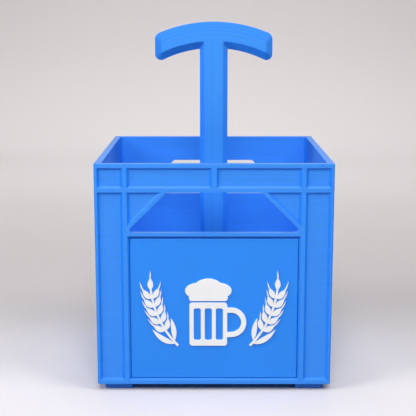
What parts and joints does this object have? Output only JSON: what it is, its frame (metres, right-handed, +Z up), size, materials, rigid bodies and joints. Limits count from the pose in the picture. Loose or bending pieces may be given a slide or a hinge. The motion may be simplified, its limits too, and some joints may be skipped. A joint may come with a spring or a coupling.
{
  "type": "mini beer crate",
  "caption": "Small square drink-can crate in blue plastic, with ribbed walls, a hand window in each side, stub feet, a sign plate and a tall T-shaped carrying handle.",
  "frame": {"origin": "middle of the square that the crate stands on, level with the undersides of its feet", "axes": "+Z up along the handle's post, -Y out of the front wall that carries the sign, +X to the right seen from the front"},
  "size_m": [0.1448, 0.1448, 0.2262],
  "materials": {
    "crate_plastic": "satin, fine horizontal layer lines",
    "plate_plastic": "satin, smooth flat face",
    "handle_plastic": "satin, contour lines on its sloping edges",
    "sign_white": "matt white, raised from the plate",
    "screw_steel": "plain stainless",
    "washer_steel": "bright zinc plate",
    "nut_steel": "bright zinc plate"
  },
  "bodies": {
    "root": {"crate_body": "crate_plastic", "sign_plate": "plate_plastic", "handle": "handle_plastic", "handle_screw": "screw_steel", "handle_washer": "washer_steel", "handle_nut": "nut_steel"}
  },
  "joints": []
}
